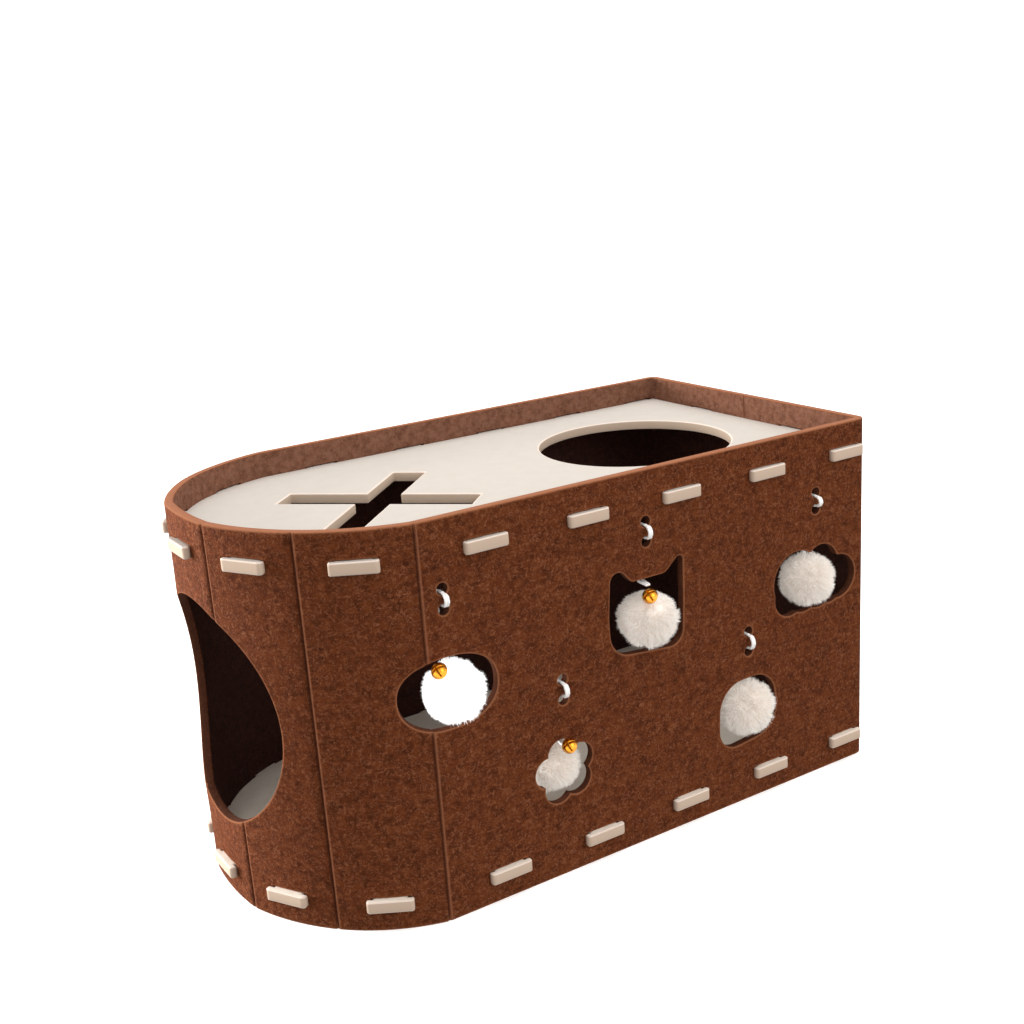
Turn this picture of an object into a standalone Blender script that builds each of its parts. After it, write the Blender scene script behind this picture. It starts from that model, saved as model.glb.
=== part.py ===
# A felt cat cave: one long felt strip bent round two felt panels, with five
# pompom toys hanging in its cut-outs. Metres, +Z up, origin on the floor under
# the middle. The rounded end with the doorway is at -X, the flat end at +X.
import math
from collections import namedtuple

import bmesh
import bpy
from mathutils import Vector
from mathutils.geometry import delaunay_2d_cdt

# The strip that makes the wall
END_X = 0.2646            # outer face of the flat end
MARK_X = 0.2604           # just inside it, where the from_end distances below start
HALF_WIDTH = 0.141        # middle plane to the outer face of a long side
HEIGHT = 0.300
WALL = 0.007              # felt thickness
CORNER_RADIUS = 0.009     # outside of the two folded corners
CORNER_STEPS = 4
JOIN_GAP = 0.0006         # the two ends of the strip meet in the middle of the flat end
FACET_STEPS = 4
GROOVE_WIDTH = 0.003      # pressed lines that the rounded end bends at
GROOVE_DEPTH = 0.0011

# Pressed lines of the rounded end, from the near long side to the far one. bulge
# is how far the felt between this line and the next swells past the straight chord.
Score = namedtuple("Score", "from_end y bulge")
SCORES = (
    Score(0.4120, -0.1410, 0.0055),
    Score(0.4820, -0.1000, 0.0040),
    Score(0.5210, -0.0360, 0.0028),
    Score(0.5235, 0.0385, 0.0045),
    Score(0.4860, 0.1030, 0.0055),
    Score(0.4120, 0.1410, 0.0),
)

# Panels and their tabs
PANEL = 0.008
GAP = 0.0003
FILL_MERGE = 0.0000001
FLOOR_LEVEL = 0.018       # underside of the bottom panel
ROOF_LEVEL = 0.2715       # underside of the top panel
TAB_NECK = 0.025
TAB_HEAD = 0.034
TAB_PROUD = 0.005
TAB_CHAMFER = 0.0015
NEAR_TAB = 0.0005         # a panel's edge needs no other point this near to a tab
SLOT_WIDTH = 0.029
SLOT_HEIGHT = 0.0087
SIDE_TABS = 5
FIRST_TAB = 0.0215        # from the mark at the flat end
TAB_PITCH = 0.0846
END_TAB = 0.060           # either side of the join

# Openings
DOOR_RADIUS = 0.087       # drawn on the strip while it is flat
DOOR_Z = 0.1505
DOOR_SWELL = 0.0045       # the doorway's far edge stands out this much at mid height
DOOR_SWELL_REACH = 0.170  # along the strip, from the middle of the doorway
ROOF_HOLE_FROM_END = 0.1267
ROOF_HOLE_RADIUS = 0.082
CROSS_FROM_END = 0.371
CROSS_REACH = 0.078
CROSS_ARM = 0.0275
CORD_HOLE_RADIUS = 0.0042
CORD_HOLE_STEPS = 12
ROUND_STEPS = 48          # sides of the doorway, the roof's round hole and the cloud
OVAL_STEPS = 32
LOBE_STEPS = 8
ARC_STEPS = 5             # sides of a rounded corner
OVAL_CENTRE = (0.396, 0.1745)
OVAL_SIZE = (0.077, 0.053)
OVAL_FULLNESS = 2.25
FLOWER_CENTRE = (0.306, 0.085)
FLOWER_LOBE_AT = 0.0142
FLOWER_LOBE_RADIUS = 0.0120
FLOWER_LOBES = 5
FLOWER_TURN = 153.0       # degrees, first lobe

# Corners of the cat head and the egg, each rounded by its radius: from_end, z, radius
CAT_HEAD = (
    (0.2590, 0.1620, 0.0190),
    (0.2600, 0.1920, 0.0600),
    (0.2562, 0.2375, 0.0072),
    (0.2385, 0.2165, 0.0060),
    (0.2070, 0.2165, 0.0080),
    (0.1897, 0.2316, 0.0036),
    (0.1905, 0.1900, 0.0900),
    (0.1925, 0.1550, 0.0120),
)
EGG = (
    (0.1560, 0.1070, 0.0240),
    (0.1010, 0.1078, 0.0220),
    (0.0950, 0.0560, 0.0230),
    (0.1580, 0.0490, 0.0170),
)
# Discs that add up to the cloud: from_end, z, radius
CLOUD = (
    (0.0730, 0.1775, 0.0250),
    (0.0465, 0.1845, 0.0180),
    (0.0275, 0.1705, 0.0187),
    (0.0810, 0.1650, 0.0160),
    (0.0660, 0.1670, 0.0180),
    (0.0500, 0.1675, 0.0185),
    (0.0380, 0.1690, 0.0190),
)
CLOUD_MIDDLE = (0.054, 0.1740)

# Toys: where the cord is threaded and where the pompom hangs
Toy = namedtuple("Toy", "name thread upper_z lower_z pompom_from_end pompom_y pompom_z pompom_radius")
TOYS = (
    Toy("oval", 0.3950, 0.2504, 0.2356, 0.3905, -0.1370, 0.1735, 0.0233),
    Toy("cat", 0.2235, 0.2604, 0.2449, 0.2205, -0.1345, 0.1835, 0.0240),
    Toy("cloud", 0.0527, 0.2476, 0.2337, 0.0565, -0.1345, 0.1740, 0.0230),
    Toy("egg", 0.1260, 0.1474, 0.1306, 0.1245, -0.1345, 0.0805, 0.0240),
    Toy("flower", 0.3040, 0.1577, 0.1418, 0.3060, -0.1190, 0.0845, 0.0240),
)
BELL_RADIUS = 0.006
BELL_SEAT = 0.0006        # how far a pompom is pressed back from its bell
Bell = namedtuple("Bell", "toy from_end y z")
BELLS = (
    Bell("oval", 0.4062, -0.1476, 0.1962),
    Bell("cat", 0.2275, -0.1480, 0.2052),
    Bell("flower", 0.3058, -0.1476, 0.1080),
)

# Cords. Each is doubled, so the tube is as wide as its two strands.
CORD_WIDTH = 0.004
CORD_STEP = 0.0026
CORD_DROP_Y = -0.1302     # the fall down the inside
CORD_BOW_Y = -0.1466      # the slack bow outside, between the two holes
CORD_PULL = 0.0016        # the cord lies this far off the middle of its holes
CORD_LEAN_OUT = 0.0036    # from the outer face to the points either side of the bow
CORD_LEAN_DOWN = 0.0020
CORD_TURN_IN = 0.0026     # from the inner face to a bend inside
CORD_TURN_DROP = 0.0012   # from the cord's level in its hole to that bend
CORD_END_DROP = 0.0060    # from that level to the knotted end behind the upper hole
CORD_FALL_DROP = 0.0070   # from that level to where the cord hangs straight
CURVE_PARTS = 24          # fine points between two points of a route
# The rest of each cord, down to its bell or its pompom: from_end, y, z
CORD_TAILS = {
    "oval": ((0.3945, CORD_DROP_Y, 0.2200), (0.3930, CORD_DROP_Y, 0.2080), (0.3915, -0.1303, 0.1966)),
    "cat": ((0.2235, CORD_DROP_Y, 0.2260), (0.2238, -0.1303, 0.2185), (0.2245, -0.1336, 0.2136),
            (0.2268, -0.1452, 0.2129)),
    "cloud": ((0.0535, CORD_DROP_Y, 0.2190), (0.0550, CORD_DROP_Y, 0.2075), (0.0560, -0.1300, 0.1972)),
    "egg": ((0.1258, CORD_DROP_Y, 0.1210), (0.1253, CORD_DROP_Y, 0.1130), (0.1248, -0.1300, 0.1048)),
    "flower": ((0.3040, CORD_DROP_Y, 0.1210), (0.3043, -0.1307, 0.1120), (0.3048, -0.1340, 0.1056),
               (0.3055, -0.1414, 0.1060)),
}

COLOURS = {
    "wall": ((0.13, 0.042, 0.018), 0.95, 0.0),
    "panel": ((0.80, 0.73, 0.63), 0.95, 0.0),
    "pompom": ((0.83, 0.77, 0.70), 0.95, 0.0),
    "bell": ((0.80, 0.48, 0.08), 0.25, 1.0),
    "cord": ((0.85, 0.80, 0.72), 0.8, 0.0),
}


def clear_scene():
    for found in list(bpy.data.objects):
        bpy.data.objects.remove(found)


def make_material(name):
    colour, roughness, metallic = COLOURS[name]
    material = bpy.data.materials.new(name)
    material.use_nodes = True
    shader = material.node_tree.nodes["Principled BSDF"]
    shader.inputs["Base Color"].default_value = (*colour, 1.0)
    shader.inputs["Roughness"].default_value = roughness
    shader.inputs["Metallic"].default_value = metallic
    return material


def add_object(name, bm, material=None):
    mesh = bpy.data.meshes.new(name)
    bm.to_mesh(mesh)
    bm.free()
    made = bpy.data.objects.new(name, mesh)
    bpy.context.collection.objects.link(made)
    if material:
        mesh.materials.append(material)
    return made


def hide_cutter(cutter):
    cutter.hide_render = True
    cutter.display_type = "WIRE"


def cut(target, cutter):
    modifier = target.modifiers.new("cut " + cutter.name, "BOOLEAN")
    modifier.operation = "DIFFERENCE"
    modifier.solver = "EXACT"
    modifier.object = cutter
    hide_cutter(cutter)


def anticlockwise(loop):
    area = sum(loop[i - 1][0] * loop[i][1] - loop[i][0] * loop[i - 1][1] for i in range(len(loop)))
    return loop if area > 0 else loop[::-1]


def fill_sheet(outline, holes, lines=()):
    """Flat triangles that fill an outline around its holes, split along the lines."""
    points = []
    loops = []
    for loop in [anticlockwise(drawn) for drawn in [outline] + holes]:
        loops.append(list(range(len(points), len(points) + len(loop))))
        points += loop
    edges = []
    for start, end in lines:
        edges.append((len(points), len(points) + 1))
        points += [start, end]
    found = delaunay_2d_cdt([Vector(point) for point in points], edges, loops, 0, FILL_MERGE)
    corners, triangles, owners = found[0], found[2], found[5]
    kept = [triangle for triangle, owner in zip(triangles, owners) if owner == [0]]
    return corners, kept


def thicken(corners, triangles, place, low, high):
    """A closed solid from flat triangles. place turns (a, b, level) into a point."""
    bm = bmesh.new()
    used = sorted({index for triangle in triangles for index in triangle})
    bottom = {index: bm.verts.new(place(*corners[index], low)) for index in used}
    top = {index: bm.verts.new(place(*corners[index], high)) for index in used}
    sides = {}
    for triangle in triangles:
        bm.faces.new([bottom[index] for index in triangle])
        bm.faces.new([top[index] for index in reversed(triangle)])
        for i in range(3):
            edge = (triangle[i - 1], triangle[i])
            if edge[::-1] in sides:
                del sides[edge[::-1]]
            else:
                sides[edge] = True
    for first, second in sides:
        bm.faces.new((bottom[second], bottom[first], top[first], top[second]))
    bmesh.ops.recalc_face_normals(bm, faces=bm.faces)
    return bm


def upright(x, y, level):
    return (x, y, level)


# Outlines
def ring(centre, radius, steps):
    points = []
    for i in range(steps):
        angle = math.tau * i / steps
        points.append((centre[0] + radius * math.cos(angle), centre[1] + radius * math.sin(angle)))
    return points


def oval_outline():
    """An oval a little fuller than an ellipse."""
    points = []
    for i in range(OVAL_STEPS):
        angle = math.tau * (i + 0.5) / OVAL_STEPS
        across = math.copysign(abs(math.cos(angle)) ** (2.0 / OVAL_FULLNESS), math.cos(angle))
        up = math.copysign(abs(math.sin(angle)) ** (2.0 / OVAL_FULLNESS), math.sin(angle))
        points.append((OVAL_CENTRE[0] + across * OVAL_SIZE[0] / 2, OVAL_CENTRE[1] + up * OVAL_SIZE[1] / 2))
    return points


def rounded_outline(corners):
    """Straight runs between corners, each corner turned into an arc of its radius."""
    points = []
    count = len(corners)
    for i in range(count):
        before = Vector(corners[i - 1][:2])
        here = Vector(corners[i][:2])
        after = Vector(corners[(i + 1) % count][:2])
        radius = corners[i][2]
        to_before = (before - here).normalized()
        to_after = (after - here).normalized()
        half = to_before.angle(to_after) / 2
        reach = radius / math.tan(half)
        middle = here + (to_before + to_after).normalized() * (radius / math.sin(half))
        start = here + to_before * reach - middle
        turn = math.pi - 2 * half
        to_corner = here - middle
        if start.x * to_corner.y - start.y * to_corner.x < 0:
            turn = -turn
        for step in range(ARC_STEPS + 1):
            angle = turn * step / ARC_STEPS
            x = start.x * math.cos(angle) - start.y * math.sin(angle)
            y = start.x * math.sin(angle) + start.y * math.cos(angle)
            points.append((middle.x + x, middle.y + y))
    return points


def lobed_outline(middle, discs, steps):
    """The outer edge of overlapping discs, as seen from a point inside them."""
    points = []
    for i in range(steps):
        angle = math.tau * i / steps
        ray = Vector((math.cos(angle), math.sin(angle)))
        farthest = 0.0
        for across, up, radius in discs:
            to_disc = Vector((across - middle[0], up - middle[1]))
            along = to_disc.dot(ray)
            inside = radius ** 2 - to_disc.length_squared + along ** 2
            if inside > 0:
                farthest = max(farthest, along + math.sqrt(inside))
        points.append((middle[0] + ray.x * farthest, middle[1] + ray.y * farthest))
    return points


def flower_outline():
    lobes = []
    for i in range(FLOWER_LOBES):
        angle = math.radians(FLOWER_TURN) + math.tau * i / FLOWER_LOBES
        lobes.append((
            FLOWER_CENTRE[0] + FLOWER_LOBE_AT * math.cos(angle),
            FLOWER_CENTRE[1] + FLOWER_LOBE_AT * math.sin(angle),
            FLOWER_LOBE_RADIUS,
        ))
    return lobed_outline(FLOWER_CENTRE, lobes, FLOWER_LOBES * LOBE_STEPS)


def cross_outline():
    """A cross with square ends, turned by 45 degrees."""
    half = CROSS_ARM / 2
    points = []
    for quarter in range(4):
        angle = math.radians(45 + 90 * quarter)
        for along, side in ((half, -half), (CROSS_REACH, -half), (CROSS_REACH, half)):
            x = along * math.cos(angle) - side * math.sin(angle)
            y = along * math.sin(angle) + side * math.cos(angle)
            points.append((MARK_X - CROSS_FROM_END + x, y))
    return points


# The path of the strip, seen from above
def arc_between(start, end, bulge, steps):
    """Points between start and end on an arc that swells to the left by bulge."""
    start = Vector(start)
    chord = Vector(end) - start
    outward = Vector((-chord.y, chord.x)).normalized()
    radius = chord.length_squared / (8 * bulge) + bulge / 2
    points = []
    for step in range(1, steps):
        along = step / steps
        aside = chord.length * (along - 0.5)
        swell = math.sqrt(radius ** 2 - aside ** 2) - (radius - bulge)
        points.append(tuple(start + chord * along + outward * swell))
    return points


def corner_points(side):
    """The folded corner of one side, from the flat end to the long side."""
    points = []
    for step in range(CORNER_STEPS + 1):
        angle = math.radians(90) * step / CORNER_STEPS
        x = END_X - CORNER_RADIUS + CORNER_RADIUS * math.cos(angle)
        y = HALF_WIDTH - CORNER_RADIUS + CORNER_RADIUS * math.sin(angle)
        points.append((x, side * y))
    return points


def rounded_end():
    """Points of the rounded end from the near side to the far side, with the pressed lines' indexes."""
    lines = [(MARK_X - score.from_end, score.y) for score in SCORES]
    points = []
    pressed = []
    for i, line in enumerate(lines):
        pressed.append(len(points))
        points.append(line)
        if i < len(lines) - 1:
            points += arc_between(line, lines[i + 1], SCORES[i].bulge, FACET_STEPS)
    return points, pressed


def strip_path():
    """Stations along the outer face: distance, outer point and inner point, and what lies where."""
    front, pressed = rounded_end()
    near_corner = corner_points(-1)
    far_corner = list(reversed(corner_points(1)))
    points = [(END_X, -JOIN_GAP / 2)] + near_corner + front + far_corner + [(END_X, JOIN_GAP / 2)]
    first_front = 1 + len(near_corner)
    scores = {first_front + index for index in pressed}

    shaped = []
    for i, point in enumerate(points):
        here = Vector(point)
        if i not in scores:
            shaped.append((here, 0.0))
            continue
        before = (Vector(points[i - 1]) - here).normalized() * GROOVE_WIDTH / 2
        after = (Vector(points[i + 1]) - here).normalized() * GROOVE_WIDTH / 2
        shaped.append((here + before, 0.0))
        shaped.append((here, GROOVE_DEPTH))
        shaped.append((here + after, 0.0))

    stations = []
    distance = 0.0
    for i, (here, groove) in enumerate(shaped):
        if i:
            distance += (here - shaped[i - 1][0]).length
        runs = []
        if i:
            runs.append((here - shaped[i - 1][0]).normalized())
        if i < len(shaped) - 1:
            runs.append((shaped[i + 1][0] - here).normalized())
        normals = [Vector((-run.y, run.x)) for run in runs]
        outward = normals[0]
        if len(normals) == 2:
            outward = (normals[0] + normals[1]) / (1 + normals[0].dot(normals[1]))
        stations.append({"s": distance, "outer": here, "outward": outward, "groove": groove})
    return stations


def locate(stations, s):
    """The outer point, and the outward vector for one unit of depth, at a distance along the strip."""
    for i in range(len(stations) - 1):
        low = stations[i]
        high = stations[i + 1]
        if s <= high["s"] or i == len(stations) - 2:
            share = (s - low["s"]) / (high["s"] - low["s"])
            outer = low["outer"].lerp(high["outer"], share)
            outward = low["outward"].lerp(high["outward"], share)
            groove = low["groove"] + (high["groove"] - low["groove"]) * share
            return outer, outward, groove


STATIONS = strip_path()
STRIP_LENGTH = STATIONS[-1]["s"]
SIDE_START = next(row["s"] for row in STATIONS if row["outer"].y <= -HALF_WIDTH + 1e-6)
PRESSED = [row["s"] for row in STATIONS if row["groove"] > 0]
FACETS = [(PRESSED[i] + PRESSED[i + 1]) / 2 for i in range(len(PRESSED) - 1)]
FRONT_MIDDLE = FACETS[len(FACETS) // 2]


def near_side(from_end):
    """Distance along the strip of a place on the near long side."""
    return SIDE_START + END_X - MARK_X + from_end - CORNER_RADIUS


def tab_places():
    """Distances along the strip of every tab, the same for both panels."""
    near = [END_TAB]
    near += [near_side(FIRST_TAB + TAB_PITCH * i) for i in range(SIDE_TABS)]
    far = [STRIP_LENGTH - place for place in reversed(near)]
    return near + FACETS + far


def shift_outline(outline):
    """An outline drawn from the flat end, moved to its distance along the strip."""
    return [(near_side(from_end), z) for from_end, z in outline]


def strip_cuts():
    """Every opening cut through the strip while it is flat."""
    cuts = [ring((FRONT_MIDDLE, DOOR_Z), DOOR_RADIUS, ROUND_STEPS)]
    cuts.append(shift_outline(oval_outline()))
    cuts.append(shift_outline(rounded_outline(CAT_HEAD)))
    cuts.append(shift_outline(lobed_outline(CLOUD_MIDDLE, CLOUD, ROUND_STEPS)))
    cuts.append(shift_outline(rounded_outline(EGG)))
    cuts.append(shift_outline(flower_outline()))
    for toy in TOYS:
        for level in (toy.upper_z, toy.lower_z):
            cuts.append(ring((near_side(toy.thread), level), CORD_HOLE_RADIUS, CORD_HOLE_STEPS))
    for level in (FLOOR_LEVEL, ROOF_LEVEL):
        low = level + PANEL / 2 - SLOT_HEIGHT / 2
        high = low + SLOT_HEIGHT
        for place in tab_places():
            left = place - SLOT_WIDTH / 2
            right = place + SLOT_WIDTH / 2
            cuts.append([(left, low), (right, low), (right, high), (left, high)])
    return cuts


def door_swell(s, z):
    """How far the felt stands out round the doorway's far edge, between the panels."""
    along = (s - FRONT_MIDDLE) / DOOR_SWELL_REACH
    up = (z - FLOOR_LEVEL - PANEL) / (ROOF_LEVEL - FLOOR_LEVEL - PANEL)
    if not (0 < along < 1 and 0 < up < 1):
        return 0.0
    return DOOR_SWELL * (math.sin(math.pi * along) * math.sin(math.pi * up)) ** 2


def on_strip(s, z, depth):
    """A place on the flat strip, laid along its path."""
    outer, outward, groove = locate(STATIONS, s)
    plan = outer + outward * (door_swell(s, z) - groove - (WALL - groove) * depth / WALL)
    return (plan.x, plan.y, z)


def make_wall():
    blank = [(0.0, 0.0), (STRIP_LENGTH, 0.0), (STRIP_LENGTH, HEIGHT), (0.0, HEIGHT)]
    bends = [((row["s"], 0.0), (row["s"], HEIGHT)) for row in STATIONS[1:-1]]
    corners, triangles = fill_sheet(blank, strip_cuts(), bends)
    add_object("wall", thicken(corners, triangles, on_strip, 0.0, WALL), make_material("wall"))


# Panels
def tab_points(place):
    """One tab, from the panel's edge through the wall and back, in order along the strip."""
    outer = locate(STATIONS, place)[0]
    before_neck = locate(STATIONS, place - TAB_NECK / 2)[0]
    after_neck = locate(STATIONS, place + TAB_NECK / 2)[0]
    along = (after_neck - before_neck).normalized()
    outward = Vector((-along.y, along.x))
    shape = (
        (TAB_NECK / 2, GAP),
        (TAB_HEAD / 2, GAP),
        (TAB_HEAD / 2, GAP + TAB_PROUD - TAB_CHAMFER),
        (TAB_HEAD / 2 - TAB_CHAMFER, GAP + TAB_PROUD),
    )
    before = [(-side, out) for side, out in shape]
    after = list(reversed(shape))
    points = []
    for side, out in before + after:
        spot = outer + along * side + outward * out
        points.append((spot.x, spot.y))
    return points


def edge_point(s):
    """A point of a panel's edge, just inside the wall."""
    outer, outward, _ = locate(STATIONS, s)
    spot = outer - outward * (WALL + GAP)
    return (spot.x, spot.y)


def panel_outline():
    """The panel's edge follows the wall's inner face, with a tab at each place."""
    half = TAB_NECK / 2
    places = tab_places()
    marks = [(row["s"], None) for row in STATIONS]
    marks = [mark for mark in marks if all(abs(mark[0] - place) > half + NEAR_TAB for place in places)]
    marks += [(place, place) for place in places]
    marks = sorted(marks, key=lambda mark: mark[0])
    outline = []
    for s, place in marks:
        if place is None:
            if abs(s) < 1e-6 or abs(s - STRIP_LENGTH) < 1e-6:
                continue
            outline.append(edge_point(s))
            continue
        outline.append(edge_point(place - half))
        outline += tab_points(place)
        outline.append(edge_point(place + half))
    return outline


def make_panel(name, level, holes, material):
    corners, triangles = fill_sheet(panel_outline(), holes)
    add_object(name, thicken(corners, triangles, upright, level, level + PANEL), material)


def make_panels():
    material = make_material("panel")
    make_panel("bottom_panel", FLOOR_LEVEL, [], material)
    round_hole = ring((MARK_X - ROOF_HOLE_FROM_END, 0.0), ROOF_HOLE_RADIUS, ROUND_STEPS)
    make_panel("top_panel", ROOF_LEVEL, [round_hole, cross_outline()], material)


# Toys
def make_ball(name, centre, radius, material=None):
    bm = bmesh.new()
    bmesh.ops.create_icosphere(bm, subdivisions=3, radius=radius)
    for face in bm.faces:
        face.smooth = True
    ball = add_object(name, bm, material)
    ball.location = centre
    return ball


def smooth_route(points, step):
    """Evenly spaced points on a smooth curve through the given ones."""
    points = [Vector(point) for point in points]
    ends = [points[0] * 2 - points[1]] + points + [points[-1] * 2 - points[-2]]
    fine = []
    for i in range(1, len(ends) - 2):
        a, b, c, d = ends[i - 1:i + 3]
        for part in range(CURVE_PARTS):
            t = part / CURVE_PARTS
            fine.append(0.5 * (2 * b + (c - a) * t + (2 * a - 5 * b + 4 * c - d) * t ** 2
                               + (3 * b - a - 3 * c + d) * t ** 3))
    fine.append(points[-1])
    length = sum((fine[i + 1] - fine[i]).length for i in range(len(fine) - 1))
    count = max(2, round(length / step))
    even = [fine[0]]
    walked = 0.0
    for i in range(len(fine) - 1):
        walked += (fine[i + 1] - fine[i]).length
        if walked >= length * len(even) / count and len(even) < count:
            even.append(fine[i + 1])
    even.append(fine[-1])
    return even


def cord_route(toy):
    """A knotted end inside, out at the upper hole, a bow down to the lower hole, then down the inside."""
    x = MARK_X - toy.thread
    upper = toy.upper_z - CORD_PULL
    lower = toy.lower_z + CORD_PULL
    face = -HALF_WIDTH
    points = [
        (x, CORD_DROP_Y, upper - CORD_END_DROP),
        (x, face + WALL + CORD_TURN_IN, upper - CORD_TURN_DROP),
        (x, face + WALL, upper),
        (x, face + WALL / 2, upper),
        (x, face, upper),
        (x, face - CORD_LEAN_OUT, upper - CORD_LEAN_DOWN),
        (x, CORD_BOW_Y, (upper + lower) / 2),
        (x, face - CORD_LEAN_OUT, lower + CORD_LEAN_DOWN),
        (x, face, lower),
        (x, face + WALL / 2, lower),
        (x, face + WALL, lower),
        (x, face + WALL + CORD_TURN_IN, lower - CORD_TURN_DROP),
        (x, CORD_DROP_Y, lower - CORD_FALL_DROP),
    ]
    points += [(MARK_X - from_end, y, z) for from_end, y, z in CORD_TAILS[toy.name]]
    return smooth_route(points, CORD_STEP)


def make_cord(toy, material):
    curve = bpy.data.curves.new("cord_" + toy.name, "CURVE")
    curve.dimensions = "3D"
    curve.bevel_depth = CORD_WIDTH / 2
    curve.bevel_resolution = 2
    curve.use_fill_caps = True
    route = cord_route(toy)
    spline = curve.splines.new("POLY")
    spline.points.add(len(route) - 1)
    for point, spot in zip(spline.points, route):
        point.co = (*spot, 1.0)
    curve.materials.append(material)
    bpy.context.collection.objects.link(bpy.data.objects.new("cord_" + toy.name, curve))


def make_toys():
    fur = make_material("pompom")
    brass = make_material("bell")
    cotton = make_material("cord")
    for toy in TOYS:
        centre = (MARK_X - toy.pompom_from_end, toy.pompom_y, toy.pompom_z)
        pompom = make_ball("pompom_" + toy.name, centre, toy.pompom_radius, fur)
        for bell in BELLS:
            if bell.toy != toy.name:
                continue
            centre = (MARK_X - bell.from_end, bell.y, bell.z)
            make_ball("bell_" + bell.toy, centre, BELL_RADIUS, brass)
            cut(pompom, make_ball("seat of bell " + bell.toy, centre, BELL_RADIUS + BELL_SEAT))
        make_cord(toy, cotton)


clear_scene()
make_wall()
make_panels()
make_toys()
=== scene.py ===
import math
import random
from bisect import bisect

import bpy
from mathutils import Matrix, Vector
from mathutils.geometry import delaunay_2d_cdt
from mathutils.kdtree import KDTree


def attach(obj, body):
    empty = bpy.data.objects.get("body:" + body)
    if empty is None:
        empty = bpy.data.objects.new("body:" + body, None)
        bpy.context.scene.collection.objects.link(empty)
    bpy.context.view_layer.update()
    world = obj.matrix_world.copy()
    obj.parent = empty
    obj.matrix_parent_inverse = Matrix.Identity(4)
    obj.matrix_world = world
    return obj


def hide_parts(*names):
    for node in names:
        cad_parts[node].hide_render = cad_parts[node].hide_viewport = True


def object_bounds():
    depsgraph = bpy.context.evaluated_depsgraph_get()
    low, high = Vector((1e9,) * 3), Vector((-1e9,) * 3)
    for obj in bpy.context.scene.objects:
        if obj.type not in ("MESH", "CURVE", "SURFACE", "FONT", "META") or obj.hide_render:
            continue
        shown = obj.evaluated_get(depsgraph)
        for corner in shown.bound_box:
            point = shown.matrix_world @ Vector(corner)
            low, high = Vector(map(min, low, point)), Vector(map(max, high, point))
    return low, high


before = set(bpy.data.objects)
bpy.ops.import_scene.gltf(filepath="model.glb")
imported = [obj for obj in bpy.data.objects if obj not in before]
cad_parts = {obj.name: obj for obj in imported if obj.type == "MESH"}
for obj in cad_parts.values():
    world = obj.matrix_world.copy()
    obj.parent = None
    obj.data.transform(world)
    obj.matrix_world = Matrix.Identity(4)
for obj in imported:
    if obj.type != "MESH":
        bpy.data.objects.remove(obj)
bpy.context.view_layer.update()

scene = bpy.context.scene

# Sizes that every piece shares, in metres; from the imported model's own drawing
cave = {
    "endX": 0.2646,          # outer face of the flat end
    "markX": 0.2604,         # just inside it, where the distances from the end start
    "halfWidth": 0.141,
    "height": 0.300,
    "felt": 0.007,
    "cornerRadius": 0.009,
    "joinGap": 0.0001,
    "floorLevel": 0.018,     # underside of the floor panel
    "roofLevel": 0.2715,     # underside of the roof panel
    "panel": 0.008,
    "gap": 0.0003,
}


def linear(hexColour):
    values = []
    for place in (1, 3, 5):
        share = int(hexColour[place:place + 2], 16) / 255
        values.append(share / 12.92 if share <= 0.04045 else ((share + 0.055) / 1.055) ** 2.4)
    return (*values, 1.0)


def addNode(tree, kind, settings=None, links=None):
    node = tree.nodes.new("ShaderNode" + kind)
    for name, value in (settings or {}).items():
        if isinstance(name, str) and hasattr(node, name):
            setattr(node, name, value)
        else:
            node.inputs[name].default_value = value
    for name, socket in (links or {}).items():
        tree.links.new(socket, node.inputs[name])
    return node


def startMaterial(name, settings):
    material = bpy.data.materials.new(name)
    material.use_nodes = True
    tree = material.node_tree
    shader = tree.nodes["Principled BSDF"]
    for socket, value in settings.items():
        shader.inputs[socket].default_value = value
    return material, tree, shader


def addMesh(name, points, faces, material, marks=None, smooth=True):
    mesh = bpy.data.meshes.new(name)
    mesh.from_pydata(points, [], faces)
    for mark, values in (marks or {}).items():
        mesh.attributes.new(mark, "FLOAT", "POINT").data.foreach_set("value", values)
    if smooth:
        mesh.shade_smooth()
    mesh.materials.append(material)
    made = bpy.data.objects.new(name, mesh)
    bpy.context.collection.objects.link(made)
    return made


# Camera
camera = {
    "place": (-0.5011, -0.861, 0.538),
    "yaw": 30.55,
    "pitch": 16.40,
    "roll": -4.07,
    "lens": 44.79,
}


def makeCamera():
    yaw, pitch, roll = (math.radians(camera[key]) for key in ("yaw", "pitch", "roll"))
    ahead = Vector((math.sin(yaw) * math.cos(pitch), math.cos(yaw) * math.cos(pitch), -math.sin(pitch)))
    right = Vector((math.cos(yaw), -math.sin(yaw), 0))
    up = right.cross(ahead)
    tiltedRight = right * math.cos(roll) + up * math.sin(roll)
    tiltedUp = up * math.cos(roll) - right * math.sin(roll)
    lens = bpy.data.cameras.new("studioCamera")
    lens.lens = camera["lens"]
    holder = bpy.data.objects.new("studioCamera", lens)
    bpy.context.collection.objects.link(holder)
    holder.matrix_world = Matrix.Translation(camera["place"]) @ Matrix(
        (tiltedRight, tiltedUp, -ahead)).transposed().to_4x4()
    scene.camera = holder


makeCamera()
print("camera set")


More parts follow.
